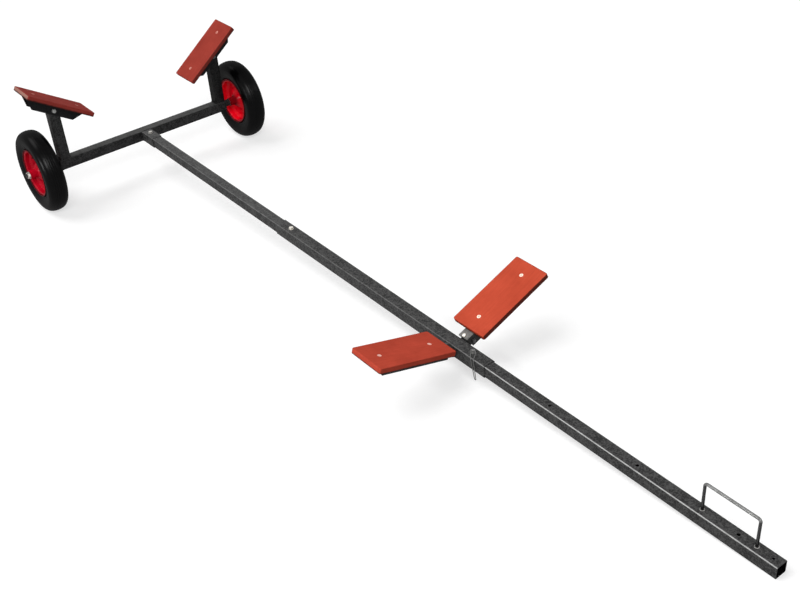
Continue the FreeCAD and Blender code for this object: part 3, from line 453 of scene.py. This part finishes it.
class Form:
    """Points and faces, from which pieces are made."""

    def __init__(self):
        self.points = []
        self.faces = []

    def rings(self, rings, closed=False, start_cap=False, end_cap=False):
        """Join rings of equal size one after the other, and the last to the first if closed."""
        first = len(self.points)
        size = len(rings[0])
        for ring in rings:
            self.points.extend(Vector(point) for point in ring)
        count = len(rings)
        for k in range(count if closed else count - 1):
            low = first + k * size
            high = first + (k + 1) % count * size
            for n in range(size):
                after = (n + 1) % size
                self.faces.append((low + n, low + after, high + after, high + n))
        if start_cap:
            self.faces.append(tuple(range(first + size - 1, first - 1, -1)))
        if end_cap:
            last = first + (count - 1) * size
            self.faces.append(tuple(range(last, last + size)))

    def add(self, other, matrix):
        first = len(self.points)
        self.points.extend(matrix @ point for point in other.points)
        self.faces.extend(tuple(first + n for n in face) for face in other.faces)

    def piece(self, name, body, material, matrix, replaced=(), sharp=35.0):
        """A Blender object of this form, moved by the matrix and riding on a body."""
        mesh = bpy.data.meshes.new(name)
        mesh.from_pydata([matrix @ point for point in self.points], [], self.faces)
        work = bmesh.new()
        work.from_mesh(mesh)
        bmesh.ops.recalc_face_normals(work, faces=work.faces)
        for edge in work.edges:
            bent = len(edge.link_faces) == 2 and edge.calc_face_angle(0.0) > math.radians(sharp)
            edge.smooth = not bent
        for face in work.faces:
            face.smooth = True
        work.to_mesh(mesh)
        work.free()
        mesh.materials.append(material)
        result = bpy.data.objects.new(name, mesh)
        bpy.context.scene.collection.objects.link(result)
        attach(result, body)
        if replaced:
            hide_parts(*replaced)
        return result


CIRCLE_SEGMENTS = 48


def circle(radius, z):
    """Ring about Z. The radius may depend on the angle, and the height on both."""
    ring = []
    for k in range(CIRCLE_SEGMENTS):
        angle = 2 * math.pi * k / CIRCLE_SEGMENTS
        reach = radius(angle) if callable(radius) else radius
        height = z(reach, angle) if callable(z) else z
        ring.append((reach * math.cos(angle), reach * math.sin(angle), height))
    return ring


def hexagon_reach(flats):
    """Radius of a hexagon, as a function of the angle."""
    def reach(angle):
        return flats / 2 / math.cos((angle + math.pi / 6) % (math.pi / 3) - math.pi / 6)
    return reach


def hex_block(form, flats, low, high, hole):
    """Hexagon head or nut from z = low up to high, its upper corners cut at 30 degrees."""
    crown = flats * 0.475
    foot = flats * 0.47
    reach = hexagon_reach(flats)

    def bevelled(radius, angle):
        return high - (radius - crown) * math.tan(math.radians(30))

    form.rings([circle(hole, low), circle(foot, low), circle(reach, low + flats * 0.02),
                circle(reach, bevelled), circle(crown, high), circle(hole, high)],
               start_cap=True, end_cap=True)


def washer_disc(form, radius, low, high, hole):
    """Flat washer with eased edges."""
    ease = (high - low) * 0.25
    form.rings([circle(hole, low), circle(radius - ease, low), circle(radius, low + ease),
                circle(radius, high - ease), circle(radius - ease, high), circle(hole, high)],
               closed=True)


THREAD_DEPTH = 0.55     # as a share of the pitch


def threaded_end(form, radius, high, low, pitch):
    """Screw thread about Z from z = high down to low, with a bevelled tip."""
    steps = max(6, int((high - low) / pitch * 6))
    rings = []
    for k in range(steps + 1):
        z = high + (low - high) * k / steps
        tip = min(0.0, (z - low) - pitch)

        def reach(angle, z=z, tip=tip):
            phase = (z / pitch + angle / (2 * math.pi)) % 1.0
            return radius - THREAD_DEPTH * pitch * (1 - abs(2 * phase - 1)) + 0.5 * tip
        rings.append(circle(reach, z))
    form.rings(rings, start_cap=True, end_cap=True)


# Bolts and nuts, as multiples of the thread: across flats, heights, and the nut's chamfered hole
HEX_FLATS = 1.65
HEAD_H = 0.65
NUT_H = 0.8
NUT_HOLE = 0.42
IN_NUT = 0.6            # where the drawn thread begins, up inside the nut

THREAD_EASE = 0.0001    # thread inside its nut, so that the surfaces don't meet
BOLT_TAIL = 0.004
WASHER_T = 0.0016
WASHER_RIM = 0.002


def bolt_form(size, grip, pitch):
    """Bolt along Z: head over z = 0, nut under z = -grip, washers, and thread below the nut."""
    flats = HEX_FLATS * size
    shank = size / 2 - THREAD_EASE
    under = -grip - WASHER_T
    form = Form()
    washer_disc(form, flats / 2 + WASHER_RIM, 0.0, WASHER_T, size / 2)
    hex_block(form, flats, WASHER_T, WASHER_T + HEAD_H * size, size * 0.2)
    washer_disc(form, flats / 2 + WASHER_RIM, under, -grip, size / 2)
    nut = Form()
    hex_block(nut, flats, 0.0, NUT_H * size, NUT_HOLE * size)
    form.add(nut, Matrix.Translation((0, 0, under)) @ Matrix.Rotation(math.pi, 4, "X"))
    form.rings([circle(shank, 0.001), circle(shank, under)], start_cap=True, end_cap=True)
    threaded_end(form, shank, under - IN_NUT * size, under - NUT_H * size - BOLT_TAIL, pitch)
    return form


def sunk_screw(size, head_r, head_h, top, under, tail, pitch):
    """Countersunk socket screw along Z, its flat top at z = top and its nut under z = under."""
    form = Form()
    socket = hexagon_reach(size * 0.62)
    form.rings([circle(socket, top - size * 0.42), circle(socket, top - 0.0003),
                circle(lambda angle: socket(angle) + 0.0004, top), circle(head_r - 0.0006, top),
                circle(head_r, top - 0.0006), circle(size / 2, top - head_h),
                circle(size / 2, under)], start_cap=True, end_cap=True)
    nut = Form()
    hex_block(nut, HEX_FLATS * size, 0.0, NUT_H * size, NUT_HOLE * size)
    form.add(nut, Matrix.Translation((0, 0, under)) @ Matrix.Rotation(math.pi, 4, "X"))
    threaded_end(form, size / 2 - THREAD_EASE, under - IN_NUT * size,
                 under - NUT_H * size - tail, pitch)
    return form


def weld_form(corners, radius, closed=False, seed=1, step=0.0011):
    """Weld bead through the corners: overlapping ripples, slightly uneven in width."""
    path = []
    count = len(corners) if closed else len(corners) - 1
    for k in range(count):
        a = Vector(corners[k])
        b = Vector(corners[(k + 1) % len(corners)])
        pieces = max(1, int((b - a).length / step))
        path.extend(a.lerp(b, n / pieces) for n in range(pieces))
    if not closed:
        path.append(Vector(corners[-1]))
    total = len(path)
    rings = []
    for k, point in enumerate(path):
        before = path[k - 1] if closed or k else path[0]
        after = path[(k + 1) % total] if closed or k < total - 1 else path[-1]
        along = (after - before).normalized()
        side = along.cross(Vector((0.31, 0.52, 0.79))).normalized()
        up = along.cross(side)
        ripple = 1.0 + 0.10 * math.sin(k * 2 * math.pi / 3 + 0.3)
        wander = 1.0 + 0.10 * math.sin(k * 0.37 + seed) + 0.07 * math.sin(k * 0.83 + 2.1 * seed)
        ends = 1.0 if closed else min(1.0, 0.35 + 0.25 * min(k, total - 1 - k))
        size = radius * ripple * wander * ends
        rings.append([point + side * (size * math.cos(t)) + up * (size * math.sin(t))
                      for t in (2 * math.pi * n / 10 for n in range(10))])
    form = Form()
    form.rings(rings, closed=closed, start_cap=not closed, end_cap=not closed)
    return form


def round_corners(half_a, half_b, radius):
    """Corners of a rounded rectangle about the origin, as (a, b) pairs."""
    pairs = []
    for sign_a, sign_b, turn in ((1, 1, 0), (-1, 1, 90), (-1, -1, 180), (1, -1, 270)):
        for k in range(5):
            angle = math.radians(turn + 22.5 * k)
            pairs.append((sign_a * (half_a - radius) + radius * math.cos(angle),
                          sign_b * (half_b - radius) + radius * math.sin(angle)))
    return pairs


def ring_corners(radius, count):
    """Points of a circle about the origin, as (a, b) pairs."""
    angles = [2 * math.pi * k / count for k in range(count)]
    return [(radius * math.cos(angle), radius * math.sin(angle)) for angle in angles]


# Tyres: the construction's outline with ribs in the tread and thin rings on the side walls

TYRE_HALF_W = 0.047
LIP_R = 0.114
TREAD_GROOVES = (0.0055, 0.0155)
GROOVE_DEPTH = 0.0016
GROOVE_HALF_W = 0.0016
TREAD_FROM_R = 0.185
# Thin rings on the side walls, as radius, height and width
WALL_RINGS = ((0.1205, 0.0009, 0.0020), (0.1290, 0.0004, 0.0010), (0.1650, 0.0003, 0.0010),
              (0.1785, 0.0004, 0.0012))
# Inside and bead of the tyre as (y, r), from the middle of the tread to the foot of the side wall
TYRE_INSIDE = [(0.0, TYRE_R - 0.008), (0.030, 0.180), (0.038, 0.158), (0.034, 0.130),
               (0.0247, 0.112), (0.0237, 0.1018), (0.0307, 0.1018), (0.0327, 0.1038)]
TYRE_SEGMENTS = 144


def arc_points(a, b, c, count):
    """Points on the round arc from a through b to c, without c."""
    (ax, ay), (bx, by), (cx, cy) = a, b, c
    d = 2 * (ax * (by - cy) + bx * (cy - ay) + cx * (ay - by))
    ux = ((ax * ax + ay * ay) * (by - cy) + (bx * bx + by * by) * (cy - ay)
          + (cx * cx + cy * cy) * (ay - by)) / d
    uy = ((ax * ax + ay * ay) * (cx - bx) + (bx * bx + by * by) * (ax - cx)
          + (cx * cx + cy * cy) * (bx - ax)) / d
    radius = math.hypot(ax - ux, ay - uy)
    start = math.atan2(ay - uy, ax - ux)
    sweep = math.atan2(cy - uy, cx - ux) - start
    middle = (math.atan2(by - uy, bx - ux) - start) % (2 * math.pi)
    sweep %= 2 * math.pi
    if middle > sweep:
        sweep -= 2 * math.pi
    return [(ux + radius * math.cos(start + sweep * k / count),
             uy + radius * math.sin(start + sweep * k / count)) for k in range(count)]


def tyre_outline():
    """Half of the outer outline as (y, r) points, from the bead to the middle of the tread."""
    height = TYRE_R - LIP_R
    foot = (0.0327, LIP_R - 0.002)
    low = (0.9 * TYRE_HALF_W, LIP_R + 0.2 * height)
    widest = (TYRE_HALF_W, LIP_R + 0.5 * height)
    high = (0.9 * TYRE_HALF_W, LIP_R + 0.77 * height)
    shoulder = (0.56 * TYRE_HALF_W, LIP_R + 0.945 * height)
    crown = (0.0, TYRE_R)
    points = arc_points(foot, low, widest, 36) + arc_points(widest, high, shoulder, 30)
    across = arc_points(shoulder, crown, (-shoulder[0], shoulder[1]), 120)
    return points + [point for point in across if point[0] > 0.0002]


def relief(y, r):
    """How far the surface stands out from the plain outline, in metres."""
    height = 0.0
    if r > TREAD_FROM_R:
        for groove in TREAD_GROOVES:
            away = abs(y - groove)
            if away < 2 * GROOVE_HALF_W:
                height -= GROOVE_DEPTH * min(1.0, 2.0 - away / GROOVE_HALF_W)
    for ring_r, ring_h, ring_w in WALL_RINGS:
        height += ring_h * math.exp(-((r - ring_r) / ring_w) ** 2)
    return height


def tyre_form():
    """The tyre about Y: the outline with its relief, mirrored and swept round."""
    outer = tyre_outline()
    shaped = []
    for k, (y, r) in enumerate(outer):
        y0, r0 = outer[max(k - 1, 0)]
        y1, r1 = outer[min(k + 1, len(outer) - 1)]
        length = math.hypot(y1 - y0, r1 - r0)
        out_y, out_r = (r1 - r0) / length, -(y1 - y0) / length
        proud = relief(y, r)
        shaped.append((min(y + out_y * proud, TYRE_HALF_W), min(r + out_r * proud, TYRE_R)))
    half = TYRE_INSIDE + shaped + [(0.0, TYRE_R)]
    profile = half[1:] + [(-y, r) for y, r in half[-2::-1]]
    rings = []
    for k in range(TYRE_SEGMENTS):
        angle = 2 * math.pi * k / TYRE_SEGMENTS
        rings.append([(r * math.sin(angle), y, r * math.cos(angle)) for y, r in profile])
    form = Form()
    form.rings(rings, closed=True)
    return form


AXLE_DIRECTION = Matrix.Rotation(-math.pi / 2, 4, "X")   # turns Z to Y
HUB_WELD_Y = 0.0272
HUB_WELD_R = 0.0225
BUSH_END_Y = 0.0598
# End face of a bush, as (radius, height)
BUSH_FACE = ((0.0101, 0.0), (0.0125, 0.00005), (0.0130, 0.0006), (0.0165, 0.0006),
             (0.0178, 0.0), (0.0179, -0.0006), (0.0101, -0.0006))

for side_name, flip, side in SIDES:
    wheel = TO_PARKED @ flip @ Matrix.Translation((0, WHEEL_Y, 0))
    body = "wheel_" + side_name
    tyre_form().piece("ribbed_tyre_" + side_name, body, RUBBER, wheel, ["tyre_" + side_name], 50.0)
    for label, end in (("outer", 1), ("inner", -1)):
        ring = [(a, end * HUB_WELD_Y, b) for a, b in ring_corners(HUB_WELD_R, 72)]
        bead = weld_form(ring, 0.0026, True, 3 + end)
        bead.piece("hub_weld_%s_%s" % (label, side_name), body, finish_of("rim_" + side_name),
                   wheel)
        lip = Form()
        lip.rings([circle(radius, height) for radius, height in BUSH_FACE], closed=True)
        turned = wheel @ Matrix.Translation((0, end * BUSH_END_Y, 0)) @ (
            AXLE_DIRECTION if end > 0 else AXLE_DIRECTION.inverted())
        lip.piece("bush_face_%s_%s" % (label, side_name), body, DULL_ZINC, turned)

# Bolts of the drawbar and of the tilting supports

M8, M8_PITCH = 0.008, 0.00125
M10, M10_PITCH = 0.010, 0.0015
bar_bolt = bolt_form(M10, 2 * SLEEVE_HALF, M10_PITCH)
for name, x in (("socket_bolt", SOCKET_BOLT_X), ("sleeve_bolt", SLEEVE_BOLT_X)):
    bar_bolt.piece("threaded_" + name, "chassis", finish_of(name),
                   TO_PARKED @ Matrix.Translation((x, 0, SLEEVE_HALF)), [name])

ALONG_X = Matrix.Rotation(math.pi / 2, 4, "Y")
PIVOT_FORMS = {"rear": bolt_form(M10, REAR_CHANNEL_W, M10_PITCH),
               "front": bolt_form(M8, FRONT_CHANNEL_W, M8_PITCH)}
board_screw = sunk_screw(M8, SCREW_HEAD_R, SCREW_HEAD_H, BOARD_TOP - SCREW_SUNK,
                         BOARD_FOOT - CHANNEL_T, SCREW_TAIL, M8_PITCH)


def screw_pair(shift):
    """The two screws of a board, one on either side of its middle."""
    screws = Form()
    for y in (shift - SCREW_REACH, shift + SCREW_REACH):
        screws.add(board_screw, Matrix.Translation((0, y, 0)))
    return screws


for side_name, flip, side in SIDES:
    rear = support_matrix(flip, REAR_PIVOT, REAR_TILT[side_name])
    front = support_matrix(flip, FRONT_PIVOT, FRONT_TILT[side_name])
    for end, own, width in (("rear", rear, REAR_CHANNEL_W), ("front", front, FRONT_CHANNEL_W)):
        pivot = "%s_pivot_%s" % (end, side_name)
        PIVOT_FORMS[end].piece("threaded_" + pivot, "%s_support_%s" % (end, side_name),
                               finish_of(pivot),
                               own @ Matrix.Translation((width / 2, 0, 0)) @ ALONG_X, [pivot])
    for end, own, shift in (("rear", rear, REAR_SHIFT), ("front", front, FRONT_SHIFT)):
        screws = "%s_board_bolts_%s" % (end, side_name)
        screw_pair(shift).piece("socket_screws_%s_%s" % (end, side_name),
                                "%s_support_%s" % (end, side_name), finish_of(screws), own,
                                [screws])
    # The right clamp bolt takes the dark finish: painted shade under the right front board
    clamp = Form()
    hex_block(clamp, HEX_FLATS * M8, 0.0, HEAD_H * M8, 0.0015)
    clamp.rings([circle(M8 / 2, 0.001), circle(M8 / 2, -0.003)], start_cap=True, end_cap=True)
    clamp.piece("clamp_bolt_" + side_name, "front_support_" + side_name,
                ZINC if side > 0 else DARK_BOLT,
                front @ Matrix.Translation((0, -0.013, BOARD_FOOT)))

# Weld beads

WELD_PROUD = 0.0003     # how far the middle of a bead stands off the tube
COLLAR_WELD_Y = 0.4525
COLLAR_WELD_R = 0.0178
HANDLE_WELD_R = 0.0062
LUG_FACE_Y = 0.0257
LUG_OUTLINE = ((-0.0205, -0.0220), (-0.0205, -0.0060), (0.0205, -0.0060), (0.0205, -0.0220))

for side_name, flip, side in SIDES:
    chassis = TO_PARKED @ flip
    foot = [(a, POST_Y + b, SLEEVE_HALF + WELD_PROUD)
            for a, b in round_corners(0.0252, 0.0252, TUBE_CORNER_R)]
    weld_form(foot, 0.0024, True, 1 + side).piece(
        "post_weld_" + side_name, "chassis", AXLE_PAINT, chassis)
    plate = [(a, AXLE_HALF_L, b) for a, b in round_corners(SLEEVE_HALF, SLEEVE_HALF, TUBE_CORNER_R)]
    weld_form(plate, 0.0015, True, 5 + side).piece(
        "end_plate_weld_" + side_name, "chassis", AXLE_PAINT, chassis)
    collar = [(a, COLLAR_WELD_Y, b) for a, b in ring_corners(COLLAR_WELD_R, 60)]
    weld_form(collar, 0.0022, True, 9 + side).piece(
        "collar_weld_" + side_name, "chassis", AXLE_PAINT, chassis)
    ears = weld_form([(FRONT_X + x, LUG_FACE_Y, z) for x, z in LUG_OUTLINE], 0.0026, False,
                     2 + side)
    ears.piece("lug_weld_" + side_name, "chassis", FRAME_PAINT, chassis)
socket = [(0.0258, a, b) for a, b in round_corners(0.0253, 0.0246, TUBE_CORNER_R)]
weld_form(socket, 0.0026, True, 4).piece("socket_weld", "chassis", AXLE_PAINT, TO_PARKED)
for label, x in (("front", HANDLE_FRONT_X), ("rear", HANDLE_REAR_X)):
    foot = [(x + a, b, BAR_HALF + 0.0007) for a, b in ring_corners(HANDLE_WELD_R, 30)]
    weld_form(foot, 0.0020, True, 7, 0.0008).piece(
        "handle_weld_" + label, "chassis", WELD_STEEL, TO_PARKED)


# Floor, backdrop and lights

def seen_directly(tree):
    """One for camera, glossy and transmission rays, and zero for all others."""
    path = tree.nodes.new("ShaderNodeLightPath")
    result = path.outputs["Is Camera Ray"]
    for kind in ("Is Glossy Ray", "Is Transmission Ray"):
        either = tree.nodes.new("ShaderNodeMath")
        either.operation = "MAXIMUM"
        tree.links.new(result, either.inputs[0])
        tree.links.new(path.outputs[kind], either.inputs[1])
        result = either.outputs["Value"]
    return result


def stage_material(name, colour, glow):
    """Pale and matt, with a little light of its own for the camera and for reflections."""
    material = bpy.data.materials.new(name)
    material.use_nodes = True
    tree = material.node_tree
    shader = tree.nodes["Principled BSDF"]
    shader.inputs["Base Color"].default_value = colour
    shader.inputs["Roughness"].default_value = 0.9
    shader.inputs["Specular IOR Level"].default_value = 0.0
    shader.inputs["Emission Color"].default_value = rgb(1, 1, 1)
    scaled = tree.nodes.new("ShaderNodeMath")
    scaled.operation = "MULTIPLY"
    tree.links.new(seen_directly(tree), scaled.inputs[0])
    scaled.inputs[1].default_value = glow
    tree.links.new(scaled.outputs["Value"], shader.inputs["Emission Strength"])
    return material


FLOOR_R = 200.0
floor_mesh = bpy.data.meshes.new("floor")
shape = bmesh.new()
bmesh.ops.create_circle(shape, cap_ends=True, segments=96, radius=FLOOR_R)
shape.to_mesh(floor_mesh)
shape.free()
floor = bpy.data.objects.new("floor", floor_mesh)
bpy.context.scene.collection.objects.link(floor)
floor_mesh.materials.append(stage_material("floor_white", rgb(0.45, 0.45, 0.45), 0.62))

world = bpy.data.worlds.new("studio")
bpy.context.scene.world = world
world.use_nodes = True
tree = world.node_tree
back = tree.nodes["Background"]
back.inputs["Color"].default_value = rgb(1, 1, 1)
level = tree.nodes.new("ShaderNodeMapRange")
level.inputs["To Min"].default_value = 0.25
level.inputs["To Max"].default_value = 1.0
tree.links.new(seen_directly(tree), level.inputs["Value"])
tree.links.new(level.outputs["Result"], back.inputs["Strength"])


def area_light(name, position, target, size, power, height=None):
    """Rectangular lamp, square unless its height is given, turned to the target."""
    data = bpy.data.lights.new(name, "AREA")
    data.shape = "RECTANGLE"
    data.size = size
    data.size_y = height or size
    data.energy = power
    lamp = bpy.data.objects.new(name, data)
    bpy.context.scene.collection.objects.link(lamp)
    lamp.location = position
    lamp.rotation_mode = "QUATERNION"
    lamp.rotation_quaternion = (Vector(target) - Vector(position)).to_track_quat("-Z", "Y")
    return lamp


def sun_light(name, towards, angle, power):
    data = bpy.data.lights.new(name, "SUN")
    data.energy = power
    data.angle = math.radians(angle)
    lamp = bpy.data.objects.new(name, data)
    bpy.context.scene.collection.objects.link(lamp)
    lamp.rotation_mode = "QUATERNION"
    lamp.rotation_quaternion = Vector(towards).to_track_quat("-Z", "Y")
    return lamp


FROM_FRONT = (-0.75, 0.29, -0.59)
WHEELS = (-1.6, 0.0, 0.2)
sun_light("window", (0.35, 0.31, -0.88), 40, 1.72)
sun_light("front", FROM_FRONT, 20, 1.05)
area_light("strip", (0.55, -2.4, 1.9), (0.2, 0.0, 0.1), 1.1, 18, 0.16)
area_light("low", (-1.4, -8.6, 1.25), WHEELS, 1.3, 70)
# These two give only the soft sheen on rubber and rounded paint
for sheen in (sun_light("front_sheen", FROM_FRONT, 24, 1.5),
              area_light("low_sheen", (-1.5, -8.6, 1.5), WHEELS, 3.2, 330, 1.2)):
    sheen.visible_diffuse = False

# Camera, fitted to the photograph

camera_data = bpy.data.cameras.new("camera")
camera_data.sensor_width = 36.0
camera_data.lens = 51.1418
camera = bpy.data.objects.new("camera", camera_data)
bpy.context.scene.collection.objects.link(camera)
camera.location = (3.177953, -1.999000, 2.408865)
camera.rotation_euler = [math.radians(a) for a in (57.166677, 5.354093, 51.987725)]
bpy.context.scene.camera = camera

bpy.context.scene.view_settings.view_transform = "Standard"
